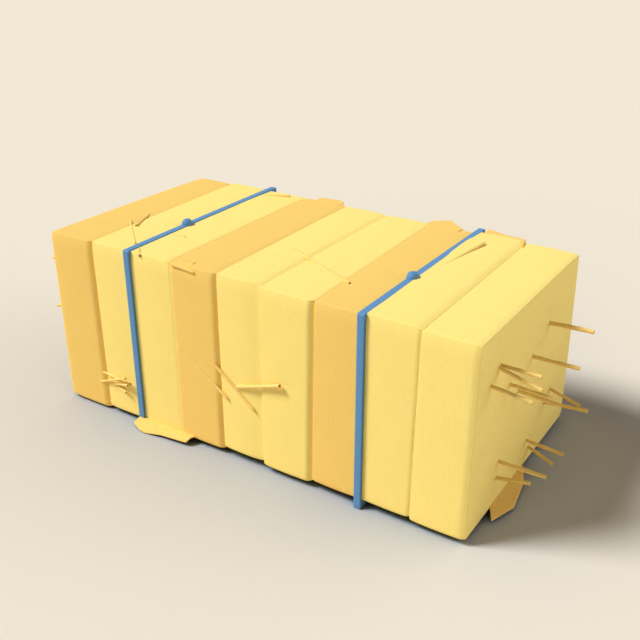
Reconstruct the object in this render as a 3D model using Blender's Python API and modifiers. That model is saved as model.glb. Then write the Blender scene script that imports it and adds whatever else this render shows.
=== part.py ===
"""A small rectangular straw bale, tied with two loops of twine.

The bale lies on its long side. +X runs along its length, to the right of someone who
faces its front, the front looks toward -Y and +Z is up. The origin is on the surface
that it lies on, under the middle of the bale. Lengths are in metres, angles in degrees.

A baler presses straw into flakes, which stand side by side here from left to right. Two
loops of twine go right round them, each with its knot on the top, and the bale stands on
the bottom runs of the loops. Loose straws stick out of the ends or lie in the faces, and
flat wads of chaff are caught at the edges.
"""

import math
from dataclasses import dataclass

import bmesh
import bpy
from mathutils import Matrix, Vector

# Driving dimensions of the bale.
HALF_DEPTH = 0.2315         # from the middle to the front or the back of the flakes
TOP = 0.377                 # height of the flakes' tops
MIDDLE = 0.190              # height at which a seam's place is given
FLAKE_EDGE = 0.011          # radius of the rounded edges of a flake
FLAKE_EDGE_STEPS = 3

GAP = 0.0003                # space left between pieces that touch
POCKET_GROWTH = 0.0006      # how far a pocket's corners stand off the piece in it

# The twine, a flattened cord, and its knot.
TWINE_WIDTH = 0.0142
TWINE_DEPTH = 0.0124
TWINE_EDGE = 0.0011
LOOPS = (("twine_left", -0.2560), ("twine_right", 0.2540))     # with their places along the bale
LOOP_HALF_DEPTH = 0.2396
LOOP_TOP = 0.382
KNOT_RADIUS = 0.0113
KNOT_Y = -0.062
KNOT_SIDES = 12
KNOT_RINGS = 7
KNOT_TAIL_RADIUS = 0.0042
KNOT_TAIL_LENGTH = 0.0100

STRAW_SIDES = 8
STRAW_BURIED = 0.024        # usual length of an end straw that is inside its flake

COLOURS = {
    "pale_straw": "FFE482",
    "amber_straw": "EEC464",
    "chaff": "F2BE5C",
    "loose_straw": "D6A53C",
    "blue_twine": "2F5FA5",
}
ROUGHNESS = {
    "pale_straw": 0.85,
    "amber_straw": 0.85,
    "chaff": 0.80,
    "loose_straw": 0.60,
    "blue_twine": 0.65,
}


@dataclass(frozen=True)
class Seam:
    """The plane between two flakes, or an end of the bale."""

    x: float        # where it crosses the middle of the bale
    lean: float     # how far it goes right for each metre of height
    swing: float    # how far it goes right for each metre of depth

    def at(self, y, z):
        return self.x + self.swing * y + self.lean * (z - MIDDLE)


SEAMS = (
    Seam(-0.4632, -0.004, 0.026),
    Seam(-0.3524, -0.005, -0.014),
    Seam(-0.2550, 0.000, 0.000),
    Seam(-0.1530, 0.001, 0.003),
    Seam(-0.0460, 0.000, -0.002),
    Seam(0.0498, -0.001, 0.003),
    Seam(0.1535, 0.016, -0.022),
    Seam(0.2550, 0.000, 0.000),
    Seam(0.3552, 0.012, -0.007),
    Seam(0.4575, 0.004, 0.000),
)


@dataclass(frozen=True)
class Flake:
    """One slice of the bale: how far it stands out on each side."""

    front: float = 0.0      # beyond HALF_DEPTH, toward the front
    back: float = 0.0       # beyond HALF_DEPTH, toward the back
    top: float = 0.0        # above TOP
    bottom: float = 0.010   # height of its underside
    stoop: float = 0.0      # how far its back leans in at the top
    colour: str = "pale_straw"


FLAKES = (
    Flake(back=-0.0020, top=-0.0018, bottom=0.0010, colour="amber_straw"),
    Flake(back=0.0020, bottom=0.0058),
    Flake(front=0.0005, back=-0.0025, top=0.0006, bottom=0.0058),
    Flake(front=0.0005, back=-0.0010, top=0.0004, bottom=0.0052, colour="amber_straw"),
    Flake(front=-0.0010, back=-0.0050, top=0.0018, bottom=0.0112),
    Flake(front=0.0025, back=-0.0025, top=-0.0008, bottom=0.0060),
    Flake(front=-0.0005, back=-0.0010, top=-0.0014, bottom=0.0090, colour="amber_straw"),
    Flake(back=0.0005, top=0.0024, bottom=0.0098),
    Flake(front=-0.0005, back=0.0145, top=-0.0016, bottom=0.0052, stoop=0.0285),
)


@dataclass(frozen=True)
class EndStraw:
    """A straw that sticks out of an end: where it leaves the face and how it points."""

    y: float
    z: float
    length: float
    yaw: float = 0.0        # turn toward the back
    pitch: float = 0.0      # turn upward
    thickness: float = 0.0066
    buried: float = STRAW_BURIED


RIGHT_STRAWS = (
    EndStraw(0.0875, 0.286, 0.0805, 1, 2, 0.0080),
    EndStraw(0.0125, 0.252, 0.0845, 0, 0, 0.0070),
    EndStraw(-0.1425, 0.305, 0.0685, 0, -1),
    EndStraw(-0.1500, 0.3045, 0.078, -6, -10.7, buried=0.005),
    EndStraw(-0.1785, 0.284, 0.0715, -3, -5),
    EndStraw(-0.0905, 0.245, 0.0805, -1, -2),
    EndStraw(-0.0435, 0.209, 0.0785, -1, -3),
    EndStraw(0.1415, 0.124, 0.0665, -8, -12, 0.0062),
    EndStraw(0.1165, 0.106, 0.0835, 2, 4, 0.0072),
    EndStraw(0.0335, 0.066, 0.0735, -2, -3.5),
    EndStraw(0.0515, 0.041, 0.0565, -12, -14, 0.0062),
    EndStraw(-0.1065, 0.100, 0.0855, 0, 0, 0.0072),
    EndStraw(-0.1095, 0.067, 0.0605, 5, 8),
)

LEFT_STRAWS = (
    EndStraw(-0.196, 0.306, 0.036, -12, -4, 0.0060),
    EndStraw(-0.194, 0.1965, 0.043, -14, -5, 0.0060),
    EndStraw(-0.090, 0.262, 0.071, 4, 3),
    EndStraw(-0.060, 0.110, 0.067, -3, -6),
    EndStraw(0.020, 0.308, 0.061, 6, 2),
    EndStraw(0.070, 0.176, 0.084, 0, 1, 0.0070),
    EndStraw(0.128, 0.074, 0.059, 8, -4),
    EndStraw(0.165, 0.240, 0.069, 5, 7),
)


@dataclass(frozen=True)
class LaidStraw:
    """A straw that lies along a face: the two ends of its middle line."""

    start: tuple
    end: tuple
    thickness: float = 0.0046


FRONT_STRAWS = (
    # The tuft at the seam of the first two flakes.
    LaidStraw((-0.3698, -0.2285, 0.0881), (-0.2744, -0.2405, 0.0908)),
    LaidStraw((-0.3718, -0.2307, 0.0626), (-0.2794, -0.2485, 0.1062)),
    LaidStraw((-0.3448, -0.2300, 0.0676), (-0.2764, -0.2470, 0.0906)),
    LaidStraw((-0.3278, -0.2303, 0.0666), (-0.2894, -0.2415, 0.0672)),
    # The level one, and the two long slanting ones beside it.
    LaidStraw((-0.0074, -0.2325, 0.1646), (0.0964, -0.2425, 0.2034), 0.0072),
    LaidStraw((-0.0603, -0.2335, 0.1989), (0.0306, -0.2325, 0.1255), 0.0060),
    LaidStraw((-0.1442, -0.2325, 0.2099), (-0.0324, -0.2325, 0.1335), 0.0052),
)

TOP_STRAWS = (
    LaidStraw((-0.0020, -0.0593, 0.3788), (0.1724, -0.1380, 0.3768), 0.0056),
    LaidStraw((0.2700, -0.0004, 0.3760), (0.2955, 0.1520, 0.3830), 0.0060),
    LaidStraw((-0.2403, 0.1820, 0.3762), (-0.1855, 0.2019, 0.3790), 0.0044),
    LaidStraw((-0.3708, -0.1041, 0.3762), (-0.2682, -0.1988, 0.3772), 0.0044),
    LaidStraw((-0.3718, -0.0463, 0.3745), (-0.3350, -0.1261, 0.3795), 0.0050),
    LaidStraw((-0.2420, -0.2170, 0.3770), (-0.2226, -0.2350, 0.3750), 0.0070),
    LaidStraw((-0.2423, -0.1240, 0.3762), (-0.2114, -0.1200, 0.3785), 0.0040),
)

BACK_STRAWS = (
    LaidStraw((-0.300, 0.2240, 0.2400), (-0.400, 0.2440, 0.2080), 0.0052),
    LaidStraw((0.050, 0.2200, 0.1200), (0.1500, 0.2560, 0.1450), 0.0052),
    LaidStraw((0.020, 0.2230, 0.2600), (-0.0900, 0.2460, 0.2860), 0.0052),
    LaidStraw((0.372, 0.2230, 0.1850), (0.2900, 0.2450, 0.1620), 0.0052),
)


@dataclass(frozen=True)
class Wad:
    """A thin flat wad of chaff, bent at a crease along the bale."""

    name: str
    outline: tuple              # seen from above
    hinge: tuple                # a point on the crease, which the slopes are measured from
    slope_x: float = 0.0        # rise for each metre of length
    slope_front: float = 0.0    # rise for each metre of depth in front of the crease
    slope_back: float = 0.0     # the same behind it
    twist: float = 0.0          # change of the front slope for each metre of length
    thickness: float = 0.0028

    def height(self, x, y):
        """Return the height of the upper side."""
        along = x - self.hinge[0]
        across = y - self.hinge[1]
        slope = self.slope_back
        if across < 0:
            slope = self.slope_front + self.twist * along
        return self.hinge[2] + self.slope_x * along + slope * across


WADS = (
    Wad(
        "wad_front_foot",
        ((-0.2665, -0.2535), (-0.2437, -0.2611), (-0.2297, -0.2625), (-0.1900, -0.2565),
         (-0.1274, -0.2528), (-0.1165, -0.2300), (-0.1200, -0.2120), (-0.2625, -0.2120),
         (-0.2620, -0.2465)),
        hinge=(-0.185, -0.244, 0.0178), slope_front=0.78,
    ),
    Wad(
        "wad_right_foot",
        ((0.4400, -0.1120), (0.4600, -0.1303), (0.4727, -0.1550), (0.4900, -0.0930),
         (0.4789, -0.0176), (0.4600, 0.0260), (0.4400, 0.0290)),
        hinge=(0.460, -0.050, 0.0145), slope_x=-0.25,
    ),
    Wad(
        "wad_back_right",
        ((0.2662, 0.2153), (0.2887, 0.1967), (0.3154, 0.2073), (0.3580, 0.1910),
         (0.3500, 0.2270), (0.3105, 0.2290), (0.2672, 0.2420)),
        hinge=(0.310, 0.215, 0.3780), slope_front=0.04, slope_back=0.04,
    ),
    Wad(
        "wad_back_middle",
        ((0.1475, 0.1950), (0.2170, 0.2000), (0.2220, 0.2180), (0.2012, 0.2315),
         (0.1840, 0.2455), (0.1595, 0.2335), (0.1450, 0.2230)),
        hinge=(0.180, 0.220, 0.3777), slope_front=0.10, slope_back=0.10,
    ),
    Wad(
        "wad_back_left",
        ((-0.1265, 0.2100), (-0.0670, 0.2070), (-0.0590, 0.2180), (-0.0630, 0.2295),
         (-0.0765, 0.2390), (-0.1200, 0.2340), (-0.1275, 0.2225)),
        hinge=(-0.095, 0.220, 0.3777), slope_front=0.04, slope_back=0.04,
    ),
    Wad(
        "wad_front_top",
        ((-0.1495, -0.2370), (-0.0930, -0.2370), (-0.1070, -0.2200), (-0.1075, -0.2115),
         (-0.1465, -0.2115)),
        hinge=(-0.122, -0.218, 0.3797), slope_front=0.33, twist=4.5,
    ),
)


def linear(channel):
    """Turn one sRGB channel of 0 to 255 into linear light."""
    value = channel / 255
    if value <= 0.04045:
        return value / 12.92
    return ((value + 0.055) / 1.055) ** 2.4


def material(name):
    """Return the named finish, made on first use."""
    existing = bpy.data.materials.get(name)
    if existing:
        return existing
    made = bpy.data.materials.new(name)
    made.use_nodes = True
    shader = made.node_tree.nodes["Principled BSDF"]
    colour = [linear(channel) for channel in bytes.fromhex(COLOURS[name])]
    shader.inputs["Base Color"].default_value = (*colour, 1.0)
    shader.inputs["Roughness"].default_value = ROUGHNESS[name]
    shader.inputs["Metallic"].default_value = 0.0
    made.diffuse_color = (*colour, 1.0)
    return made


def add_object(name, mesh, collection, finish):
    """Put a mesh in the scene as the named piece."""
    mesh.materials.clear()
    mesh.materials.append(material(finish))
    piece = bpy.data.objects.new(name, mesh)
    collection.objects.link(piece)
    return piece


def mesh_from(bm, name):
    """Write a finished bmesh to a new mesh."""
    bmesh.ops.recalc_face_normals(bm, faces=bm.faces)
    mesh = bpy.data.meshes.new(name)
    bm.to_mesh(mesh)
    bm.free()
    return mesh


def flat_outline(name, loops, thickness):
    """Return a plate with the given outline; later loops are holes in it."""
    curve = bpy.data.curves.new(name, "CURVE")
    curve.dimensions = "2D"
    curve.fill_mode = "BOTH"
    curve.extrude = thickness / 2
    for points in loops:
        spline = curve.splines.new("POLY")
        spline.points.add(len(points) - 1)
        for point, (u, v) in zip(spline.points, points):
            point.co = (u, v, 0.0, 1.0)
        spline.use_cyclic_u = True
    holder = bpy.data.objects.new(name, curve)
    bpy.context.scene.collection.objects.link(holder)
    evaluated = holder.evaluated_get(bpy.context.evaluated_depsgraph_get())
    mesh = bpy.data.meshes.new_from_object(evaluated)
    bpy.data.objects.remove(holder)
    bpy.data.curves.remove(curve)
    bm = bmesh.new()
    bm.from_mesh(mesh)
    bpy.data.meshes.remove(mesh)
    bmesh.ops.remove_doubles(bm, verts=bm.verts, dist=0.00005)
    return bm


def rectangle(half_width, bottom, top):
    """Return the corners of an upright rectangle."""
    return ((-half_width, bottom), (half_width, bottom), (half_width, top), (-half_width, top))


def boolean(piece, operation, other):
    """Cut the other piece out of this one, or join it on."""
    modifier = piece.modifiers.new(f"{operation.lower()} {other.name}", "BOOLEAN")
    modifier.operation = operation
    modifier.object = other


def hide(piece):
    """Show a cutter as wires only."""
    piece.hide_render = True
    piece.display_type = "WIRE"


def build_knot(name, x, cutters):
    """Make the knot of one loop, a ball with the cut ends at its side."""
    centre = Vector((x, KNOT_Y, LOOP_TOP))
    bm = bmesh.new()
    bmesh.ops.create_uvsphere(
        bm, u_segments=KNOT_SIDES, v_segments=KNOT_RINGS, radius=KNOT_RADIUS,
        matrix=Matrix.Translation(centre) @ Matrix.Rotation(math.radians(20), 4, "Z"),
    )
    ball = add_object(f"{name}_knot", mesh_from(bm, f"{name}_knot"), cutters, "blue_twine")
    hide(ball)

    direction = Vector((0.75, 0.85, -0.12)).normalized()
    middle = centre + direction * (KNOT_RADIUS * 0.62)
    turn = direction.to_track_quat("Z", "Y").to_matrix().to_4x4()
    bm = bmesh.new()
    bmesh.ops.create_cone(
        bm, cap_ends=True, segments=STRAW_SIDES, depth=KNOT_TAIL_LENGTH,
        radius1=KNOT_TAIL_RADIUS, radius2=KNOT_TAIL_RADIUS * 0.8,
        matrix=Matrix.Translation(middle) @ turn,
    )
    tail = add_object(f"{name}_tail", mesh_from(bm, f"{name}_tail"), cutters, "blue_twine")
    hide(tail)
    return ball, tail


def build_loop(name, x, parts, cutters):
    """Make one loop of twine, which stands round the bale across its length."""
    outer = rectangle(LOOP_HALF_DEPTH, 0.0, LOOP_TOP)
    inner = rectangle(LOOP_HALF_DEPTH - TWINE_DEPTH, TWINE_DEPTH, LOOP_TOP - TWINE_DEPTH)
    bm = flat_outline(name, (outer, inner), TWINE_WIDTH)
    upright = Matrix(((0, 0, 1, x), (1, 0, 0, 0), (0, 1, 0, 0), (0, 0, 0, 1)))
    bmesh.ops.transform(bm, matrix=upright, verts=bm.verts)
    loop = add_object(name, mesh_from(bm, name), parts, "blue_twine")
    edges = loop.modifiers.new("worn edges", "BEVEL")
    edges.width = TWINE_EDGE
    edges.segments = 1
    for knot in build_knot(name, x, cutters):
        boolean(loop, "UNION", knot)
    return loop


def build_straw(name, start, end, thickness, parts):
    """Make one straight straw between two points."""
    start = Vector(start)
    end = Vector(end)
    along = end - start
    turn = along.to_track_quat("Z", "Y").to_matrix().to_4x4()
    bm = bmesh.new()
    bmesh.ops.create_cone(
        bm, cap_ends=True, segments=STRAW_SIDES, depth=along.length,
        radius1=thickness / 2, radius2=thickness / 2,
        matrix=Matrix.Translation((start + end) / 2) @ turn,
    )
    straw = add_object(name, mesh_from(bm, name), parts, "loose_straw")
    straw.data.shade_smooth()
    straw.data.set_sharp_from_angle(angle=math.radians(50))
    return straw


def build_end_straw(name, straw, seam, outward, parts):
    """Make a straw that leaves an end face, with part of it inside the flake."""
    yaw = math.radians(straw.yaw)
    pitch = math.radians(straw.pitch)
    direction = Vector((
        outward * math.cos(yaw) * math.cos(pitch),
        math.sin(yaw) * math.cos(pitch),
        math.sin(pitch),
    ))
    leaves = Vector((seam.at(straw.y, straw.z), straw.y, straw.z))
    start = leaves - direction * straw.buried
    end = leaves + direction * straw.length
    return build_straw(name, start, end, straw.thickness, parts)


def build_straws(parts):
    """Make every loose straw that is large enough to be a piece of its own."""
    straws = []
    for number, straw in enumerate(RIGHT_STRAWS, 1):
        straws.append(build_end_straw(f"straw_right_{number}", straw, SEAMS[-1], 1, parts))
    for number, straw in enumerate(LEFT_STRAWS, 1):
        straws.append(build_end_straw(f"straw_left_{number}", straw, SEAMS[0], -1, parts))
    for face, laid in (("front", FRONT_STRAWS), ("top", TOP_STRAWS), ("back", BACK_STRAWS)):
        for number, straw in enumerate(laid, 1):
            name = f"straw_{face}_{number}"
            straws.append(build_straw(name, straw.start, straw.end, straw.thickness, parts))
    return straws


def build_wad(wad, parts):
    """Make one wad of chaff, a plate with its outline that is bent to its slopes."""
    bm = flat_outline(wad.name, (wad.outline,), wad.thickness)
    bmesh.ops.bisect_plane(
        bm, geom=[*bm.verts, *bm.edges, *bm.faces], dist=0.00001,
        plane_co=wad.hinge, plane_no=(0, 1, 0),
    )
    for corner in bm.verts:
        corner.co.z += wad.height(corner.co.x, corner.co.y) - wad.thickness / 2
    return add_object(wad.name, mesh_from(bm, wad.name), parts, "chaff")


def build_flake(number, flake, parts):
    """Make one flake between its two seams, as a box with rounded edges."""
    left = SEAMS[number - 1]
    right = SEAMS[number]
    bm = bmesh.new()
    bmesh.ops.create_cube(bm, size=2.0)
    for corner in bm.verts:
        y = HALF_DEPTH + flake.back if corner.co.y > 0 else -HALF_DEPTH - flake.front
        z = TOP + flake.top if corner.co.z > 0 else flake.bottom
        if corner.co.y > 0 and corner.co.z > 0:
            y -= flake.stoop
        if corner.co.x > 0:
            corner.co = (right.at(y, z) - GAP / 2, y, z)
        else:
            corner.co = (left.at(y, z) + GAP / 2, y, z)
    name = f"flake_{number}"
    piece = add_object(name, mesh_from(bm, name), parts, flake.colour)
    edges = piece.modifiers.new("rounded edges", "BEVEL")
    edges.width = FLAKE_EDGE
    edges.segments = FLAKE_EDGE_STEPS
    return piece


def grown_copy(piece, cutters):
    """Return a slightly larger copy of a piece, to cut its pocket with."""
    cutter = piece.copy()
    cutter.data = piece.data.copy()
    cutter.name = f"{piece.name}_pocket"
    cutters.objects.link(cutter)
    growth = cutter.modifiers.new("clearance", "DISPLACE")
    growth.strength = POCKET_GROWTH
    growth.mid_level = 0.0
    hide(cutter)
    return cutter


def bounds(piece):
    """Return the lowest and highest corner of a piece as it is shown."""
    evaluated = piece.evaluated_get(bpy.context.evaluated_depsgraph_get())
    corners = [piece.matrix_world @ Vector(corner) for corner in evaluated.bound_box]
    low = Vector([min(corner[axis] for corner in corners) for axis in range(3)])
    high = Vector([max(corner[axis] for corner in corners) for axis in range(3)])
    return low, high


def meet(first, second):
    """Tell whether the boxes of two pieces touch."""
    return all(
        first[0][axis] <= second[1][axis] and second[0][axis] <= first[1][axis]
        for axis in range(3)
    )


def cut_pockets(pieces, cutters):
    """Cut the pocket of each cutter out of every piece that it reaches."""
    reach = {cutter.name: bounds(cutter) for cutter in cutters}
    for piece in pieces:
        own = bounds(piece)
        for cutter in cutters:
            if meet(own, reach[cutter.name]):
                boolean(piece, "DIFFERENCE", cutter)


def main():
    for old in list(bpy.data.objects):
        bpy.data.objects.remove(old)
    parts = bpy.data.collections.new("straw_bale")
    cutters = bpy.data.collections.new("cutters")
    bpy.context.scene.collection.children.link(parts)
    bpy.context.scene.collection.children.link(cutters)

    loops = [build_loop(name, x, parts, cutters) for name, x in LOOPS]
    straws = build_straws(parts)
    wads = [build_wad(wad, parts) for wad in WADS]
    flakes = [build_flake(number, flake, parts) for number, flake in enumerate(FLAKES, 1)]

    bpy.context.view_layer.update()
    loop_pockets = [grown_copy(loop, cutters) for loop in loops]
    straw_pockets = [grown_copy(straw, cutters) for straw in straws]
    wad_pockets = [grown_copy(wad, cutters) for wad in wads]
    bpy.context.view_layer.update()
    cut_pockets(wads, loop_pockets + straw_pockets)
    cut_pockets(flakes, wad_pockets + loop_pockets + straw_pockets)


main()
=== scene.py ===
"""The looks of a small straw bale: pressed flakes, loops of twine, loose straws and wads of chaff.

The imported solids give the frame. Every one of them is replaced here by a fine surface of the same
form, in metres and in the same place. +X runs along the bale, its front looks toward -Y, +Z is up.
"""

import logging
import math
from dataclasses import dataclass
from enum import Enum

import bpy
import numpy as np
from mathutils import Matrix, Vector


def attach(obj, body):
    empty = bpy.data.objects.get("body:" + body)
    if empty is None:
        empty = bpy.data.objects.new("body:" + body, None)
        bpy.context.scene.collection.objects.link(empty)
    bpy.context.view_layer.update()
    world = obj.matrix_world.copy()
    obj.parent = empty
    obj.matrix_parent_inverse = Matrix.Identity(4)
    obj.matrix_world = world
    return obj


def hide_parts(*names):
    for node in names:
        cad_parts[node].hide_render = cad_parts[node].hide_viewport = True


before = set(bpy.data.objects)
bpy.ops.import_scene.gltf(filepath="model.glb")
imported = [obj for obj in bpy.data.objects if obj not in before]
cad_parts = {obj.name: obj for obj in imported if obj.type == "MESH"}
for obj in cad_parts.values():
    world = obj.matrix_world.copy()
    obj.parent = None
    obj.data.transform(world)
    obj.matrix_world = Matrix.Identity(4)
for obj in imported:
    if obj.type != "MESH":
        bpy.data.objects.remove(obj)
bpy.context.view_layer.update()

LOG = logging.getLogger("straw_bale")
MM = 0.001
MIDDLE_HEIGHT = 0.190       # height at which the place of a seam is given
TOP_FROM = 0.374            # height above which a place counts as on the top


def mm(*values: float) -> tuple[float, ...]:
    """Turn millimetres into metres."""
    return tuple(value * MM for value in values)


def linear(hex_colour: str) -> tuple[float, float, float, float]:
    """Turn an sRGB hex colour into linear light.

    Args:
        hex_colour: Six hex digits.

    Returns:
        Red, green, blue and an alpha of 1.
    """
    channels = [value / 255 for value in bytes.fromhex(hex_colour)]
    light = [c / 12.92 if c <= 0.04045 else ((c + 0.055) / 1.055) ** 2.4 for c in channels]
    return (light[0], light[1], light[2], 1.0)


def add_node(tree: bpy.types.NodeTree, kind: str, settings: dict | None = None,
             inputs: dict | None = None) -> bpy.types.Node:
    """Add one node to a material, with its settings and links.

    Args:
        tree: The material's node tree.
        kind: Blender's type name of the node.
        settings: Attributes to set on the node.
        inputs: Input name or number to a value, or to the output socket that feeds it.

    Returns:
        The new node.
    """
    node = tree.nodes.new(kind)
    for attribute, value in (settings or {}).items():
        setattr(node, attribute, value)
    for key, value in (inputs or {}).items():
        if isinstance(value, bpy.types.NodeSocket):
            tree.links.new(value, node.inputs[key])
        else:
            node.inputs[key].default_value = value
    return node


def new_material(name: str, roughness: float,
                 specular: float) -> tuple[bpy.types.Material, bpy.types.Node]:
    """Make a material that holds only a Principled BSDF and its output.

    Args:
        name: The material's name.
        roughness: How matt it is, from 0 to 1.
        specular: Its specular level, 0.5 where the IOR alone rules.

    Returns:
        The material and its shader node.
    """
    made = bpy.data.materials.new(name)
    made.use_nodes = True
    tree = made.node_tree
    tree.nodes.clear()
    shader = tree.nodes.new("ShaderNodeBsdfPrincipled")
    output = tree.nodes.new("ShaderNodeOutputMaterial")
    tree.links.new(shader.outputs["BSDF"], output.inputs["Surface"])
    shader.inputs["Roughness"].default_value = roughness
    shader.inputs["Specular IOR Level"].default_value = specular
    return made, shader


@dataclass(frozen=True)
class PressedStraw:
    """Straw pressed flat by the baler, cut stalks lying side by side.

    Its faces are dull and nearly one colour from a step away. Close by, the stalks show as fine
    streaks in the plane of each flake, a little lighter and darker, with a faint relief.
    """

    name: str
    base: str
    dark: str
    light: str
    beside: str                     # colour into which it fades where no line parts two flakes
    stalk: float = 3.0 * MM         # width of a stalk, a little coarse so that it shows
    run: float = 45.0 * MM          # how far a streak runs
    patch: float = 60.0 * MM        # size of the slow changes of colour
    relief: float = 0.25 * MM
    turns: tuple = (0.15, 0.95, -0.75, 1.60)    # of the layers of streaks, in radians
    least: float = 0.20             # share of the streaks' colours in the lightest patches
    more: float = 0.20              # what the darkest patches add to it
    roughness: float = 0.85
    specular: float = 0.15

    def streaks(self, tree: bpy.types.NodeTree, place: bpy.types.NodeSocket,
                turn: float) -> bpy.types.Node:
        """Add one layer of streaks that lie in the plane of the flake.

        Args:
            tree: The material's node tree.
            place: Object coordinates.
            turn: Angle of the streaks in the plane of the flake, in radians.

        Returns:
            The noise node.
        """
        spread = add_node(tree, "ShaderNodeMapping", {"vector_type": "TEXTURE"}, {
            "Vector": place, "Rotation": (turn, 0.0, 0.0),
            "Scale": (self.stalk, self.stalk * 1.3, self.run)})
        return add_node(tree, "ShaderNodeTexNoise", {}, {
            "Vector": spread.outputs["Vector"], "Scale": 1.0, "Detail": 3.0, "Roughness": 0.55})

    def build(self) -> bpy.types.Material:
        """Make the material.

        Returns:
            The finished material.
        """
        made, shader = new_material(self.name, self.roughness, self.specular)
        tree = made.node_tree
        place = add_node(tree, "ShaderNodeTexCoord").outputs["Object"]
        layers = [self.streaks(tree, place, turn).outputs["Fac"] for turn in self.turns]
        first, second = (
            add_node(tree, "ShaderNodeMath", {"operation": "MAXIMUM"}, {0: one, 1: other}).outputs[0]
            for one, other in (layers[:2], layers[2:]))
        fibres = add_node(tree, "ShaderNodeMath", {"operation": "ADD"}, {0: first, 1: second})
        patches = add_node(tree, "ShaderNodeTexNoise", {}, {
            "Vector": place, "Scale": 1.0 / self.patch, "Detail": 2.0, "Roughness": 0.5})
        fine = add_node(tree, "ShaderNodeMapRange", {}, {
            "Value": fibres.outputs[0], "From Min": 0.80, "From Max": 1.35})
        slow = add_node(tree, "ShaderNodeMapRange", {}, {
            "Value": patches.outputs["Fac"], "From Min": 0.35, "From Max": 0.65})
        stalks = add_node(tree, "ShaderNodeMix", {"data_type": "RGBA"}, {
            "Factor": fine.outputs[0], "A": linear(self.dark), "B": linear(self.light)})
        blend = add_node(tree, "ShaderNodeMath", {"operation": "MULTIPLY_ADD"}, {
            0: slow.outputs[0], 1: self.more, 2: self.least})
        colour = add_node(tree, "ShaderNodeMix", {"data_type": "RGBA"}, {
            "Factor": blend.outputs[0], "A": linear(self.base), "B": stalks.outputs["Result"]})
        share = add_node(tree, "ShaderNodeAttribute", {"attribute_name": "beside"})
        faded = add_node(tree, "ShaderNodeMix", {"data_type": "RGBA"}, {
            "Factor": share.outputs["Fac"], "A": colour.outputs["Result"], "B": linear(self.beside)})
        bump = add_node(tree, "ShaderNodeBump", {}, {
            "Strength": 0.2, "Distance": self.relief, "Height": fine.outputs[0]})
        tree.links.new(faded.outputs["Result"], shader.inputs["Base Color"])
        tree.links.new(bump.outputs["Normal"], shader.inputs["Normal"])
        return made


@dataclass(frozen=True)
class StrawStalk:
    """A dry hollow stalk of wheat straw: waxy skin with fine lines along it, and a soft sheen."""

    name: str = "dry wheat stalk"
    base: str = "F4D27A"
    dark: str = "E4C06A"
    mottle: float = 9.0 * MM
    line: float = 0.8 * MM          # distance between the lines along the skin
    roughness: float = 0.55
    specular: float = 0.3

    def build(self) -> bpy.types.Material:
        """Make the material.

        Returns:
            The finished material.
        """
        made, shader = new_material(self.name, self.roughness, self.specular)
        tree = made.node_tree
        place = add_node(tree, "ShaderNodeTexCoord").outputs["Object"]
        spots = add_node(tree, "ShaderNodeTexNoise", {}, {
            "Vector": place, "Scale": 1.0 / self.mottle, "Detail": 3.0, "Roughness": 0.6})
        lines = add_node(tree, "ShaderNodeTexNoise", {}, {
            "Vector": place, "Scale": 1.0 / self.line, "Detail": 1.0})
        ramp = add_node(tree, "ShaderNodeMapRange", {}, {
            "Value": spots.outputs["Fac"], "From Min": 0.40, "From Max": 0.70, "To Max": 0.7})
        colour = add_node(tree, "ShaderNodeMix", {"data_type": "RGBA"}, {
            "Factor": ramp.outputs[0], "A": linear(self.base), "B": linear(self.dark)})
        bump = add_node(tree, "ShaderNodeBump", {}, {
            "Strength": 0.3, "Distance": 0.1 * MM, "Height": lines.outputs["Fac"]})
        tree.links.new(colour.outputs["Result"], shader.inputs["Base Color"])
        tree.links.new(bump.outputs["Normal"], shader.inputs["Normal"])
        return made


@dataclass(frozen=True)
class TwistedTwine:
    """Blue polypropylene baler twine, split film twisted and drawn tight: dull, with fine slants."""

    name: str = "blue polypropylene twine"
    base: str = "5B8EBE"
    # painted shade: colour of the hollows between the strands, a little darker than the base
    groove_shade: str = "588AB9"
    pitch: float = 9.0 * MM         # distance between strands along the twine
    slant: float = 38.0             # of the strands, in degrees
    roughness: float = 0.6
    specular: float = 0.3

    def build(self) -> bpy.types.Material:
        """Make the material. Its pattern follows the UV map, in metres along and round the twine.

        Returns:
            The finished material.
        """
        made, shader = new_material(self.name, self.roughness, self.specular)
        tree = made.node_tree
        along = add_node(tree, "ShaderNodeUVMap", {"uv_map": "twine"})
        strands = add_node(tree, "ShaderNodeMapping", {"vector_type": "TEXTURE"}, {
            "Vector": along.outputs["UV"], "Rotation": (0.0, 0.0, math.radians(self.slant)),
            "Scale": (self.pitch, self.pitch, 1.0)})
        wave = add_node(tree, "ShaderNodeTexWave", {"wave_type": "BANDS", "bands_direction": "X"}, {
            "Vector": strands.outputs["Vector"], "Scale": 0.32, "Distortion": 0.6, "Detail": 1.0})
        film = add_node(tree, "ShaderNodeTexNoise", {}, {
            "Vector": strands.outputs["Vector"], "Scale": 9.0, "Detail": 3.0})
        # Painted shade: the bands that lie low in the bump take the darker colour of the hollows.
        colour = add_node(tree, "ShaderNodeMix", {"data_type": "RGBA"}, {
            "Factor": wave.outputs["Fac"], "A": linear(self.groove_shade), "B": linear(self.base)})
        height = add_node(tree, "ShaderNodeMath", {"operation": "MULTIPLY_ADD"}, {
            0: film.outputs["Fac"], 1: 0.35, 2: wave.outputs["Fac"]})
        bump = add_node(tree, "ShaderNodeBump", {}, {
            "Strength": 0.12, "Distance": 0.3 * MM, "Height": height.outputs[0]})
        tree.links.new(colour.outputs["Result"], shader.inputs["Base Color"])
        tree.links.new(bump.outputs["Normal"], shader.inputs["Normal"])
        return made


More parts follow.
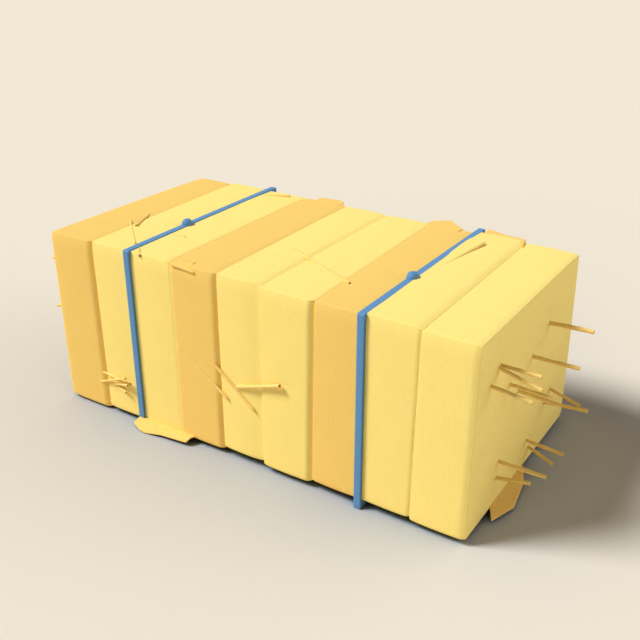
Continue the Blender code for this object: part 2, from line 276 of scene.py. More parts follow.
class Slot(Enum):
    """The record's material slots, with the finish of each."""

    PALE = ("pale_straw", PressedStraw("pressed straw, pale", "FFE482", "F0D070", "FFEE98", "F2CA6E"))
    AMBER = ("amber_straw", PressedStraw("pressed straw, amber", "F5CC6D", "E6BC60", "FAD67C", "FFE482"))
    CHAFF = ("chaff", PressedStraw("pressed chaff", "F5CB6E", "E2B050", "FFD882", "F5CB6E"))
    STALK = ("loose_straw", StrawStalk())
    TWINE = ("blue_twine", TwistedTwine())

    def material(self) -> bpy.types.Material:
        """Return the slot's material, made on first use."""
        finish = self.value[1]
        return bpy.data.materials.get(finish.name) or finish.build()


@dataclass
class Shell:
    """A closed surface of quads and triangles, as arrays."""

    points: np.ndarray
    faces: list
    uv: np.ndarray | None = None        # one pair for each point

    @staticmethod
    def from_grid(grid: np.ndarray, poles: bool = True) -> "Shell":
        """Join a grid of rings into a closed surface.

        Each row of the grid is a ring, closed on itself. With poles, the first and the last ring
        are points, so their quads become triangles. Without, the last ring joins the first.

        Args:
            grid: Points, as rings by places by 3.
            poles: Whether the surface ends in a point at both ends.

        Returns:
            The surface.
        """
        rings, places = grid.shape[:2]
        index = np.arange(rings * places).reshape(rings, places)
        if poles:
            index[0] = index[0, 0]
            index[-1] = index[-1, 0]
            low, high = index[:-1], index[1:]
        else:
            low, high = index, np.roll(index, -1, axis=0)
        quads = np.stack([low, np.roll(low, -1, 1), np.roll(high, -1, 1), high], -1).reshape(-1, 4)
        used, inverse = np.unique(quads, return_inverse=True)
        quads = inverse.reshape(quads.shape)
        points = grid.reshape(-1, 3)[used]
        first = quads[:, 0] == quads[:, 1]
        last = quads[:, 2] == quads[:, 3]
        faces = [*quads[~first & ~last].tolist(), *quads[first][:, [0, 2, 3]].tolist(),
                 *quads[last][:, [0, 1, 2]].tolist()]
        return Shell(points, faces)

    @staticmethod
    def joined(shells: list["Shell"]) -> "Shell":
        """Put several surfaces into one.

        Args:
            shells: The surfaces.

        Returns:
            One surface that holds them all.
        """
        start = 0
        faces: list = []
        for shell in shells:
            faces.extend([[corner + start for corner in face] for face in shell.faces])
            start += len(shell.points)
        uv = None
        if all(shell.uv is not None for shell in shells):
            uv = np.concatenate([shell.uv for shell in shells])
        return Shell(np.concatenate([shell.points for shell in shells]), faces, uv)

    def piece(self, node: str, slot: Slot, sharp: float = 40.0) -> bpy.types.Object:
        """Make the surface an object that replaces a solid and rides on the bale.

        Args:
            node: Name of the solid that it stands for.
            slot: The finish.
            sharp: Angle, in degrees, from which an edge is drawn sharp.

        Returns:
            The new object.
        """
        name = f"{node}_surface"
        mesh = bpy.data.meshes.new(name)
        mesh.from_pydata(self.points.tolist(), [], self.faces)
        if self.uv is not None:
            corners = np.empty(len(mesh.loops), dtype=np.int32)
            mesh.loops.foreach_get("vertex_index", corners)
            layer = mesh.uv_layers.new(name="twine")
            layer.uv.foreach_set("vector", self.uv[corners].astype(np.float32).ravel())
        outward(mesh)
        mesh.shade_smooth()
        mesh.set_sharp_from_angle(angle=math.radians(sharp))
        mesh.materials.append(slot.material())
        made = bpy.data.objects.new(name, mesh)
        bpy.context.scene.collection.objects.link(made)
        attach(made, "root")
        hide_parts(node)
        LOG.info("%s: %d faces", name, len(mesh.polygons))
        return made


def outward(mesh: bpy.types.Mesh) -> None:
    """Turn a closed mesh so that its faces point outwards.

    The signed volume is the sum over the triangles of a . (b x c) / 6. Where it is negative, the
    mesh is inside out.

    Args:
        mesh: The mesh.
    """
    mesh.update()
    mesh.calc_loop_triangles()
    corners = np.empty(len(mesh.vertices) * 3)
    mesh.vertices.foreach_get("co", corners)
    corners = corners.reshape(-1, 3)
    triangles = np.empty(len(mesh.loop_triangles) * 3, dtype=np.int32)
    mesh.loop_triangles.foreach_get("vertices", triangles)
    a, b, c = (corners[triangles.reshape(-1, 3)[:, k]] for k in range(3))
    if np.einsum("ij,ij->i", a, np.cross(b, c)).sum() < 0:
        mesh.flip_normals()


def waves(points: np.ndarray, length: float, seed: int, stretch: tuple = (1, 1, 1)) -> np.ndarray:
    """Return a smooth uneven value of about -1 to 1 for each point.

    It is the mean of eight sine waves with random directions and phases.

    Args:
        points: Places, as any shape by 3.
        length: Typical wavelength.
        seed: Start of the random draws.
        stretch: Factors on the wavelength along X, Y and Z.

    Returns:
        The values, in the shape of the points without their last axis.
    """
    draw = np.random.default_rng(seed)
    directions = draw.normal(size=(8, 3))
    directions /= np.linalg.norm(directions, axis=1, keepdims=True)
    directions *= draw.uniform(0.7, 1.5, size=(8, 1)) * 2 * math.pi / length / np.array(stretch)
    phases = draw.uniform(0, 2 * math.pi, size=8)
    return np.sin(points @ directions.T + phases).mean(-1) * 1.6


def ring(low: tuple, high: tuple, radii: tuple, side: int, corner: int) -> tuple:
    """Walk round a rectangle with rounded corners, from the start of its side at high[0].

    Each straight side has the same number of points, and so has each corner, whatever the size.
    The sizes may be arrays, which gives one rectangle for each entry.

    Args:
        low: Lowest first and second coordinate.
        high: Highest first and second coordinate.
        radii: Radius of the corners high-high, low-high, low-low and high-low.
        side: Points along a straight side.
        corner: Points round a corner.

    Returns:
        First and second coordinates and the two parts of the outward direction, with the places
        along the last axis.
    """
    low_a, low_b, high_a, high_b, *radii = np.broadcast_arrays(*low, *high, *radii)
    centres = ((high_a - radii[0], high_b - radii[0]), (low_a + radii[1], high_b - radii[1]),
               (low_a + radii[2], low_b + radii[2]), (high_a - radii[3], low_b + radii[3]))
    share = (np.arange(side) + 0.5) / side
    turn = (np.arange(corner) + 0.5) / corner * math.pi / 2
    parts = []
    for quarter in range(4):
        angle = quarter * math.pi / 2
        out = round(math.cos(angle)), round(math.sin(angle))
        before, after = centres[quarter - 1], centres[quarter]
        for k in range(2):
            start = before[k] + out[k] * radii[quarter - 1]
            end = after[k] + out[k] * radii[quarter]
            arc = (math.cos, math.sin)[k]
            bend = np.array([arc(angle + t) for t in turn])
            straight = start[..., None] + (end - start)[..., None] * share
            curved = after[k][..., None] + radii[quarter][..., None] * bend
            normal = np.concatenate([np.full(side, float(out[k])), bend])
            parts.append((np.concatenate([straight, curved], -1), normal))
    first, second = parts[0::2], parts[1::2]
    a, b = (np.concatenate([place for place, _ in half], -1) for half in (first, second))
    na, nb = (np.concatenate([normal for _, normal in half]) for half in (first, second))
    return a, b, na, nb


@dataclass(frozen=True)
class Roll:
    """How the outer faces of a flake fall away towards a seam or an end."""

    front: tuple = mm(14.0, 1.6, 1.5)       # width, fall, radius of the very edge
    top: tuple = mm(11.0, 0.7, 0.6)
    hidden: tuple = mm(14.0, 2.0, 2.0)      # back and bottom
    edge_rings: int = 8
    slope_rings: int = 9

    def rows(self, normal_y: np.ndarray, normal_z: np.ndarray) -> tuple:
        """Return the rings from the seam or end inwards.

        The very edge is a quarter of a circle. Beyond it a face has fallen by (1 - s)^2 times its
        whole fall, where s is the share of the roll's width that lies behind the place.

        Args:
            normal_y: Outward direction in depth of each place round the flake.
            normal_z: Outward direction in height of each place.

        Returns:
            How far in each ring is, by place, how far it has fallen on the front, the back, the
            top and the bottom, and the radius that it adds to the corners.
        """
        quarter = math.pi / 2
        share = np.concatenate([np.zeros(self.edge_rings), np.linspace(0, 1, self.slope_rings)])
        turn = np.concatenate([np.linspace(0, quarter, self.edge_rings + 1)[:-1],
                               np.full(self.slope_rings, quarter)])
        share, turn = share[:, None], turn[:, None]
        front = np.maximum(-normal_y, 0) ** 2
        top = np.maximum(normal_z, 0) ** 2
        faces = (front, self.front), (top, self.top), (1 - front - top, self.hidden)
        width, radius = (sum(weight * face[k] for weight, face in faces) for k in (0, 2))
        inset = radius * (1 - np.cos(turn)) + width * share
        falls = [(face[2] * (1 - np.sin(turn)) + face[1] * (1 - share) ** 2)[:, 0]
                 for face in (self.front, self.hidden, self.top, self.hidden)]
        rounded = (max(self.front[2], self.top[2]) * (1 - np.sin(turn)))[:, 0]
        return inset, falls, rounded


CRISP = Roll(mm(3.0, 0.2, 0.3), mm(3.0, 0.2, 0.3), mm(8.0, 1.0, 2.0))
FLUSH = Roll(mm(4.0, 0.05, 0.1), mm(4.0, 0.05, 0.1))
LEFT_END = Roll(*[mm(20.0, 0.6, 10.0)] * 3)
RIGHT_END = Roll(mm(12.0, 2.4, 1.6), mm(11.0, 1.8, 1.6), mm(9.0, 1.4, 0.8))


@dataclass(frozen=True)
class Seam:
    """The plane between two flakes, or an end of the bale.

    The flake on its left rolls down to the seam. The one on its right has a crisp edge.
    """

    x: float                # where it crosses the middle of the bale
    lean: float             # how far it goes right for each metre of height
    swing: float            # how far it goes right for each metre of depth
    roll: Roll = Roll()
    free: bool = False      # whether it is an end of the bale
    fade: tuple = ()        # where the colours run into each other: place and half width on the
                            # front, and the same on the top, from the plane

    def at(self, y: np.ndarray, z: np.ndarray) -> np.ndarray:
        """Return where the plane is for each place in depth and height."""
        return self.x + self.swing * y + self.lean * (z - MIDDLE_HEIGHT)

    def passed(self, points: np.ndarray) -> np.ndarray:
        """Tell how far over to the right-hand flake's colour each point is.

        It rises by s^2 (3 - 2 s), where s is the share of the fade that lies on its left.

        Args:
            points: Places, as any number by 3.

        Returns:
            The share of the right-hand colour, from 0 to 1.
        """
        front, front_half, top, top_half = self.fade
        upper = points[:, 2] > TOP_FROM
        beyond = points[:, 0] - self.at(points[:, 1], points[:, 2]) - np.where(upper, top, front)
        share = np.clip(beyond / np.where(upper, top_half, front_half), -1, 1) / 2 + 0.5
        return share ** 2 * (3 - 2 * share)


END_RINGS = 60          # rings on the face of a flake at an end of the bale
SEAM_RINGS = 6          # the same on the face at a seam, which is out of sight
WAVE_SEED = 40          # start of the random draws for the waves of flake 0


@dataclass(frozen=True)
class Flake:
    """One slice of the bale, pressed into a block."""

    number: int
    left: Seam
    right: Seam
    slot: Slot
    front: float = 0.0              # how far it stands out beyond the bale's own front
    back: float = 0.0               # the same for its back, and then for its top
    top: float = 0.0
    bottom: float = 0.0             # height of its underside
    half_depth: float = 0.2335      # of the bale, from its middle to its front
    height: float = 0.379           # of the bale's own top
    swell: float = 1.0 * MM         # how far the middle of each outer face stands out
    end_swell: float = 0.5 * MM     # the same for the ends of the bale
    edge: float = 0.8 * MM          # radius of the front upper edge
    back_edge: float = 3.0 * MM
    foot: float = 9.0 * MM          # radius of the lower long edges
    crown: tuple = mm(26.0, 2.2, 0.2)   # width, fall on the front and on the top
    stoop: tuple = mm(120.0, 13.0)  # how the back leans in near the top: height and lean
    droop: tuple = mm(150.0, 2.0)   # how the top falls near the back: depth and fall
    gap: float = 0.12 * MM
    corner_growth: tuple = (0.4, 0.9, 0.2, 0.2)     # what the edge radius of a seam adds to the
                                                    # back top corner and on round, as shares
    uneven: tuple = (0.10, 0.25 * MM)   # wavelength and height of the slight waves of the faces
    half_width: float = 0.05        # of a usual flake
    end_beyond: float = 0.4         # distance from the middle past which a face across is an end
    step: float = 3.5 * MM          # size of a face of the mesh
    rolled: float = 20.0 * MM       # about what the two rolls take from its width
    corner: int = 7                 # places round a corner
    sharp: float = 50.0             # angle, in degrees, from which an edge is drawn sharp

    def rings(self) -> np.ndarray:
        """Return the surface as rings round the flake, from its left seam to its right one.

        Each ring is a rounded rectangle in depth and height. Near a seam it falls back by
        (1 - s)^2, where s is the share of the roll's width. Near the upper long edges the faces
        fall by the same law. Between the seams they swell by 1 - u^2.

        Returns:
            The grid of points.
        """
        side = int(2 * self.half_depth / self.step)
        low = np.array([-self.half_depth - self.front, self.bottom])
        high = np.array([self.half_depth + self.back, self.height + self.top])
        _, _, ny, nz = ring(low, high, (self.edge,) * 4, side, self.corner)
        left_roll = self.left.roll if self.left.free else CRISP
        left_in, left_falls, left_round = left_roll.rows(ny, nz)
        right_in, right_falls, right_round = self.right.roll.rows(ny, nz)
        width = self.right.x - self.left.x
        between = np.linspace(0, 1, int((width - self.rolled) / self.step))[1:-1, None]
        groups = (
            ("left", left_in, left_falls, left_round),
            ("between", between, [0 * between[:, 0]] * 4, 0 * between[:, 0]),
            ("right", right_in[::-1], [fall[::-1] for fall in right_falls], right_round[::-1]),
        )
        grids = []
        for kind, inset, (front, back, top, bottom), rounded in groups:
            corners = zip((self.back_edge, self.edge, self.foot, self.foot), self.corner_growth)
            radii = [size + share * rounded for size, share in corners]
            y, z, _, _ = ring((low[0] + front, low[1] + bottom), (high[0] - back, high[1] - top),
                              radii, side, self.corner)
            a = self.left.at(y, z) + self.gap / 2
            b = self.right.at(y, z) - self.gap / 2
            if kind == "left":
                x = a + inset
            elif kind == "right":
                x = b - inset
            else:
                x = (a + left_in[-1]) * (1 - inset) + (b - right_in[-1]) * inset
            across = np.clip(2 * (x - a) / (b - a) - 1, -1, 1)
            out = self.swell * (1 - across ** 2)
            inward, down = self.crowned(y, z, low, high)
            grids.append(np.stack([x, y + ny * out + inward, z + nz * out - down], -1))
        return self.closed(np.concatenate(grids), (low + high) / 2)

    def crowned(self, y: np.ndarray, z: np.ndarray, low: np.ndarray, high: np.ndarray) -> tuple:
        """Tell how far each place moves because an upper long edge of the flake is near.

        Within the width of an edge the move grows by (1 - s)^2 in both directions, where s is the
        share of the width that lies between the place and the edge.

        Args:
            y: Depth of each place.
            z: Height of each place.
            low: Lowest depth and height of the flake.
            high: Highest depth and height of the flake.

        Returns:
            How far each place goes back in depth, and how far down.
        """
        width, steep, flat = self.crown
        tall, lean = self.stoop
        long, fall = self.droop
        below, behind, before = high[1] - z, y - low[0], high[0] - y
        front = (np.clip(1 - below / width, 0, 1) * np.clip(1 - behind / width, 0, 1)) ** 2
        back = (np.clip(1 - below / tall, 0, 1) * np.clip(1 - before / long, 0, 1)) ** 2
        return front * steep - back * lean, front * flat + back * fall

    def closed(self, outer: np.ndarray, middle: np.ndarray) -> np.ndarray:
        """Add the two seam faces, as rings that shrink to the flake's middle.

        Args:
            outer: The rings round the flake.
            middle: Depth and height of the middle.

        Returns:
            The whole grid.
        """
        caps = []
        for seam, edge, sign in ((self.left, outer[0], -1), (self.right, outer[-1], 1)):
            count = END_RINGS if seam.free else SEAM_RINGS
            shrink = np.linspace(1, 0, count + 1)[1:, None]
            y = middle[0] + (edge[:, 1] - middle[0]) * shrink
            z = middle[1] + (edge[:, 2] - middle[1]) * shrink
            swell = self.end_swell * (1 - shrink ** 4) if seam.free else 0.0
            x = seam.at(y, z) + sign * (swell - self.gap / 2)
            caps.append(np.stack([x, y, z], -1))
        return np.concatenate([caps[0][::-1], outer, caps[1]])

    def build(self) -> bpy.types.Object:
        """Make the flake, with its outer faces slightly uneven.

        Each place moves by its wave, straight out of the face that it is on. The attribute
        "beside" holds how far its colour has gone over to its neighbour's.

        Returns:
            The new object.
        """
        grid = self.rings()
        wavelength, height = self.uneven
        wave = waves(grid, wavelength, WAVE_SEED + self.number) * height
        halves = np.array([self.half_width, self.half_depth, self.height / 2])
        away = (grid - grid.reshape(-1, 3).mean(0)) / halves
        face = np.abs(away).argmax(-1)
        inner = (face == 0) & (np.abs(grid[..., 0]) < self.end_beyond)
        direction = np.sign(np.take_along_axis(away, face[..., None], -1)) * np.eye(3)[face]
        grid = grid + direction * np.where(inner, 0.0, wave)[..., None]
        made = Shell.from_grid(grid).piece(f"flake_{self.number}", self.slot, self.sharp)
        for seam, own_side in ((self.left, 1), (self.right, 0)):
            if seam.fade:
                points = np.empty(3 * len(made.data.vertices))
                made.data.vertices.foreach_get("co", points)
                share = abs(own_side - seam.passed(points.reshape(-1, 3)))
                made.data.attributes.new("beside", "FLOAT", "POINT").data.foreach_set("value", share)
        return made


@dataclass(frozen=True)
class TwineLoop:
    """One loop of baler twine pulled tight round the bale, with its knot."""

    node: str
    x: float
    half_depth: float = 0.2396
    top: float = 0.382
    width: float = 14.2 * MM
    depth: float = 12.4 * MM
    edge: float = 1.6 * MM
    bend_inside: float = 1.5 * MM
    bend_outside: float = 3.0 * MM
    droop: float = 1.5 * MM         # how far the top has sunk at the back
    knot_y: float = -0.062
    knot_radius: float = 11.3 * MM
    knot_axes: tuple = (4.125, 4.875, 3.9)      # how the wound turns follow one another
    knot_relief: float = 0.035                  # their depth, as a share of the radius
    tail_direction: tuple = (0.75, 0.85, -0.12)
    tail_size: tuple = mm(9.0, 4.0)             # length and radius of the cut end
    section_places: tuple = (6, 4)              # places along a side and round a corner
    loop_places: tuple = (120, 6)
    knot_places: tuple = (25, 48)               # from pole to pole, and round

    def cord(self) -> Shell:
        """Return the cord: a rounded rectangle as section, carried round a larger one.

        A place on the section lies some way out from the middle line, and the loop through it is a
        rectangle that is larger by as much on every side.

        Returns:
            The surface, with its UV map in metres along and round the cord.
        """
        half = np.array([self.width / 2, self.depth / 2])
        w, out, _, _ = ring(-half, half, (self.edge,) * 4, *self.section_places)
        half_y = self.half_depth - self.depth / 2 + out
        half_z = self.top / 2 - self.depth / 2 + out
        bend = self.bend_inside + (self.bend_outside - self.bend_inside) * (out / self.depth + 0.5)
        y, z, _, _ = ring((-half_y, -half_z), (half_y, half_z), (bend,) * 4, *self.loop_places)
        x = np.broadcast_to((self.x + w)[:, None], y.shape)
        to_back, to_top = np.clip(y / self.half_depth, 0, 1), np.clip(2 * z / self.top, 0, 1)
        z = z + self.top / 2 - self.droop * to_back * to_top
        grid = np.stack([x, y, z], -1)
        shell = Shell.from_grid(grid, poles=False)
        along = np.concatenate([[0], np.cumsum(np.linalg.norm(np.diff(grid[0], axis=0), axis=1))])
        round_it = np.concatenate([[0], np.cumsum(np.hypot(np.diff(w), np.diff(out)))])
        shell.uv = np.stack(np.meshgrid(along, round_it), -1).reshape(-1, 2)
        return shell

    def knot(self) -> Shell:
        """Return the knot: a ball whose radius rises and falls over its wound turns.

        Returns:
            The surface.
        """
        rows, places = self.knot_places
        polar = np.linspace(0, math.pi, rows)[:, None]
        turn = np.linspace(0, 2 * math.pi, places, endpoint=False)[None, :]
        direction = np.stack([np.sin(polar) * np.cos(turn), np.sin(polar) * np.sin(turn),
                              np.cos(polar) + 0 * turn], -1)
        wound = direction @ np.array(self.knot_axes) + np.sin(turn * 2) * 0.3
        radius = self.knot_radius * (1 + self.knot_relief * (np.cos(wound) - 1))
        centre = np.array([self.x, self.knot_y, self.top])
        shell = Shell.from_grid(centre + direction * radius[..., None])
        shell.uv = np.zeros((len(shell.points), 2))
        return shell

    def tail(self) -> Shell:
        """Return the cut end of the twine beside the knot, a short round stub.

        Returns:
            The surface.
        """
        length, radius = self.tail_size
        direction = np.array(self.tail_direction)
        direction /= np.linalg.norm(direction)
        start = np.array([self.x, self.knot_y, self.top]) + direction * self.knot_radius * 0.3
        shell = tube(start, start + direction * length, radius, 0.0, hollow=False)
        shell.uv = np.zeros((len(shell.points), 2))
        return shell

    def build(self) -> bpy.types.Object:
        """Make the loop with its knot."""
        return Shell.joined([self.cord(), self.knot(), self.tail()]).piece(self.node, Slot.TWINE)


STALK_ROWS = 17                 # rows along a stalk
STALK_SIDES = 14                # places round it
STALK_SWELL = 0.05              # share of its radius by which it swells and narrows
STALK_RIM = (0.9, 0.72, 0.62, 0.60, 0.0)        # radii from the rim down the hollow to its middle
HOLLOW_DEPTH = 14.0 * MM        # how far in its cut end is hollow


def tube(start: np.ndarray, end: np.ndarray, radius: float, bow: float, hollow: bool = True,
         seed: int = 0) -> Shell:
    """Return a stalk: a turned profile carried along a slightly bowed line.

    The profile goes from the closed start along the outside to the cut end, over its rim, down
    the hollow and across it. The outside swells and narrows by a sine, and the line bows sideways
    by bow times sin(pi s), where s is the share of the length.

    Args:
        start: Its closed end.
        end: Its cut end.
        radius: Radius of the outside.
        bow: Largest distance from the straight line.
        hollow: Whether the cut end is hollow.
        seed: Start of the random draws.

    Returns:
        The surface.
    """
    draw = np.random.default_rng(seed)
    length = float(np.linalg.norm(end - start))
    s = np.linspace(0, 1, STALK_ROWS)
    outside = 1 + STALK_SWELL * np.sin(2 * math.pi * (s * draw.uniform(1, 2) + draw.uniform()))
    rim = 0.25 * radius / length
    if hollow:
        lip, floor = 1 - 0.3 * rim, 1 - min(0.5, HOLLOW_DEPTH / length)
        places = np.concatenate([[0], s * lip, [1, 1, lip, floor, floor]])
        sizes = np.concatenate([[0], outside, STALK_RIM])
    else:
        places = np.concatenate([[0], s * (1 - rim), [1, 1]])
        sizes = np.concatenate([[0], outside, [0.8, 0]])
    axis = (end - start) / length
    side = np.cross(axis, [0.3, 0.2, 0.9])      # any direction that no stalk follows
    side /= np.linalg.norm(side)
    other = np.cross(axis, side)
    turn = np.linspace(0, 2 * math.pi, STALK_SIDES, endpoint=False)
    circle = np.cos(turn)[:, None] * side + np.sin(turn)[:, None] * other
    bent = bow * np.sin(math.pi * places.clip(0, 1))[:, None]
    line = start + (end - start) * places[:, None] + other * bent
    return Shell.from_grid(line[:, None, :] + circle * (sizes * radius)[:, None, None])


@dataclass(frozen=True)
class Straw:
    """One loose stalk, along the middle line of the solid that it replaces."""

    node: str
    start: tuple
    end: tuple
    thickness: float
    bow: float = 0.4 * MM       # to one side for odd seeds, to the other for even ones

    def build(self, seed: int) -> bpy.types.Object:
        """Make the stalk.

        Args:
            seed: Start of the random draws.

        Returns:
            The new object.
        """
        bow = self.bow * (1 if seed % 2 else -1)
        shell = tube(np.array(self.start), np.array(self.end), self.thickness / 2, bow, True, seed)
        return shell.piece(self.node, Slot.STALK)


@dataclass(frozen=True)
class Wad:
    """A thin flat wad of chaff, bent at a crease along the bale."""

    node: str
    outline: tuple
    hinge: tuple                    # a place on the crease
    slope_x: float = 0.0            # rise of the crease along the bale
    slope_front: float = 0.0        # rise of each side toward the back
    slope_back: float = 0.0
    twist: float = 0.0              # how the front slope grows along the bale
    thickness: float = 2.8 * MM
    rough: tuple = (0.012, 0.18 * MM)   # wavelength and height of its uneven faces
    rim_places: int = 160
    rim_rings: int = 7
    face_rings: int = 21

    def height(self, x: np.ndarray, y: np.ndarray) -> np.ndarray:
        """Tell how high the upper side lies: two slopes that meet at the crease.

        Args:
            x: Place along the bale.
            y: Place in depth.

        Returns:
            The heights.
        """
        along = x - self.hinge[0]
        across = y - self.hinge[1]
        slope = np.where(across < 0, self.slope_front + self.twist * along, self.slope_back)
        return self.hinge[2] + self.slope_x * along + slope * across

    def build(self, seed: int) -> bpy.types.Object:
        """Make the wad from rings that shrink to its middle, above and below, round a soft rim.

        Args:
            seed: Start of the random draws.

        Returns:
            The new object.
        """
        corners = np.array(self.outline)
        closed = np.vstack([corners, corners[:1]])
        walk = np.concatenate([[0], np.cumsum(np.linalg.norm(np.diff(closed, axis=0), axis=1))])
        places = np.linspace(0, walk[-1], self.rim_places + 1)[:-1]
        rim = np.stack([np.interp(places, walk, closed[:, k]) for k in range(2)], -1)
        rim = (np.roll(rim, 1, 0) + 2 * rim + np.roll(rim, -1, 0)) / 4
        middle = rim.mean(0)
        turn = np.linspace(0, math.pi, self.rim_rings)
        half = self.thickness / 2
        radial = np.linspace(0, 1, self.face_rings + 1)[:-1]
        inset = half * (1 - np.sin(turn))
        size = np.linalg.norm(rim - middle, axis=1)
        upper = np.outer(radial, 1 - half / size)
        shrink = np.concatenate([upper, 1 - np.outer(inset, 1 / size), upper[::-1]])
        lift = np.concatenate([np.full(self.face_rings, half), half * np.cos(turn),
                               np.full(self.face_rings, -half)])
        xy = middle + (rim - middle) * shrink[..., None]
        z = self.height(xy[..., 0], xy[..., 1]) - half + lift[:, None]
        grid = np.concatenate([xy, z[..., None]], -1)
        wavelength, height = self.rough
        wave = waves(grid, wavelength, seed, (1, 1, 4)) * height
        flat = np.where(np.abs(lift) >= half * 0.99, np.sign(lift), 0.0)
        grid[..., 2] += wave * flat[:, None]
        return Shell.from_grid(grid).piece(self.node, Slot.CHAFF)


@dataclass(frozen=True)
class StudioFloor:
    """Matt pale paper under the bale.

    For the camera, painted shade makes the paper cooler and darker where the bale hides much of
    the sky from it, down to a painted contact shadow at its foot. The cool tint offsets the warm
    light that the straw throws on it, so its shadows are neutral. For the light that it throws
    back, the paper is painted darker near the bale, as painted shade on the bale's lower faces.
    """

    name: str = "matt pale studio paper"
    colour: str = "F2E8D5"
    # painted shade: shares of red, green and blue left where the bale hides all the sky
    hidden_share: tuple = (0.05, 0.22, 0.56)    # of red, green and blue left right at the bale
    level: float = 1.087                        # light on the open floor, where 1 draws it as written
    # painted contact shadow: below this much open sky the paper turns dark, down to darkest
    contact: float = 0.35                       # open sky below which the paper turns quite dark
    darkest: float = 0.1                        # what is left of its colour with no open sky
    reach: float = 1.5                          # how far off something still hides the sky
    # painted shade: the paper throws back less light near the bale, which darkens the bale's lower faces
    bounce: tuple = (0.74, 0.88)                # share of its light thrown back near the bale and far
    near: tuple = (0.40, 1.10)                  # what is near and far, in metres from the middle
    roughness: float = 1.0
    specular: float = 0.0

    def build(self) -> bpy.types.Material:
        """Make the material.

        Returns:
            The finished material.
        """
        made, shader = new_material(self.name, self.roughness, self.specular)
        tree = made.node_tree
        paper = linear(self.colour)
        open_sky = tuple(value / self.level for value in paper[:3]) + (1.0,)
        hidden = tuple(value * share for value, share in zip(open_sky, self.hidden_share)) + (1.0,)
        place = add_node(tree, "ShaderNodeTexCoord").outputs["Object"]
        # Painted shade for the light thrown back: the paper is darker within near[0] of the bale's
        # middle.
        away = add_node(tree, "ShaderNodeVectorMath", {"operation": "LENGTH"}, {0: place})
        share = add_node(tree, "ShaderNodeMapRange", {}, {
            "Value": away.outputs["Value"], "From Min": self.near[0], "From Max": self.near[1],
            "To Min": self.bounce[0], "To Max": self.bounce[1]})
        unseen = add_node(tree, "ShaderNodeVectorMath", {"operation": "SCALE"}, {
            0: paper[:3], "Scale": share.outputs[0]})
        # Painted shade for the camera: darker and cooler as the bale hides the sky, near black in the
        # painted contact shadow.
        sky = add_node(tree, "ShaderNodeAmbientOcclusion", {"samples": 16}, {"Distance": self.reach})
        tinted = add_node(tree, "ShaderNodeMix", {"data_type": "RGBA"}, {
            "Factor": sky.outputs["AO"], "A": hidden, "B": open_sky})
        clear = add_node(tree, "ShaderNodeMapRange", {}, {
            "Value": sky.outputs["AO"], "From Max": self.contact, "To Min": self.darkest})
        seen = add_node(tree, "ShaderNodeVectorMath", {"operation": "SCALE"}, {
            0: tinted.outputs["Result"], "Scale": clear.outputs[0]})
        path = add_node(tree, "ShaderNodeLightPath")
        colour = add_node(tree, "ShaderNodeMix", {"data_type": "RGBA"}, {
            "Factor": path.outputs["Is Camera Ray"], "A": unseen.outputs["Vector"],
            "B": seen.outputs["Vector"]})
        tree.links.new(colour.outputs["Result"], shader.inputs["Base Color"])
        return made


@dataclass(frozen=True)
class Lamp:
    """A soft distant lamp."""

    name: str
    travel: tuple           # the direction in which its light goes
    strength: float
    spread: float           # the angle across it, in degrees
    colour: str = "FFFFFF"

    def build(self) -> None:
        """Add the lamp to the scene."""
        light = bpy.data.lights.new(self.name, "SUN")
        light.energy = self.strength
        light.angle = math.radians(self.spread)
        light.color = linear(self.colour)[:3]
        made = bpy.data.objects.new(self.name, light)
        made.rotation_euler = Vector(self.travel).to_track_quat("-Z", "Y").to_euler()
        bpy.context.scene.collection.objects.link(made)


